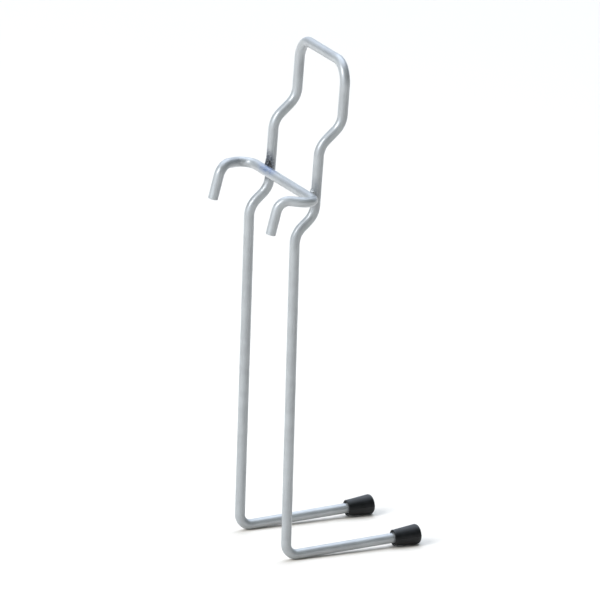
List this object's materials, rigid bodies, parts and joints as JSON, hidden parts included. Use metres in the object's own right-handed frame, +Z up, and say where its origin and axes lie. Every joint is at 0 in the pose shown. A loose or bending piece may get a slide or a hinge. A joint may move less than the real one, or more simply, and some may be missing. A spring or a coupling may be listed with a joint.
{
  "type": "bicycle wall rack",
  "caption": "Rack of bent round wire that hangs on a wall rail by hooks and carries a bicycle on rubber-capped arms.",
  "frame": {"origin": "midway between the two hooks, where the middle of the wall rail's top edge bears on them", "axes": "+Z up when the rack stands on a floor on its foot bends and caps, -Y away from the wall along the arms, +X to the right of a person who faces the wall"},
  "size_m": [0.136, 0.1363, 0.4022],
  "materials": {
    "coated_wire": "silver-grey coating, satin to semi-gloss",
    "weld_bead": "dark weld metal under the coating, glossy",
    "cap_rubber": "black moulded rubber, satin"
  },
  "bodies": {
    "root": {"frame_wire": "coated_wire", "hook_wire": "coated_wire", "weld_left": "weld_bead", "weld_right": "weld_bead", "cap_left": "cap_rubber", "cap_right": "cap_rubber"}
  },
  "joints": []
}
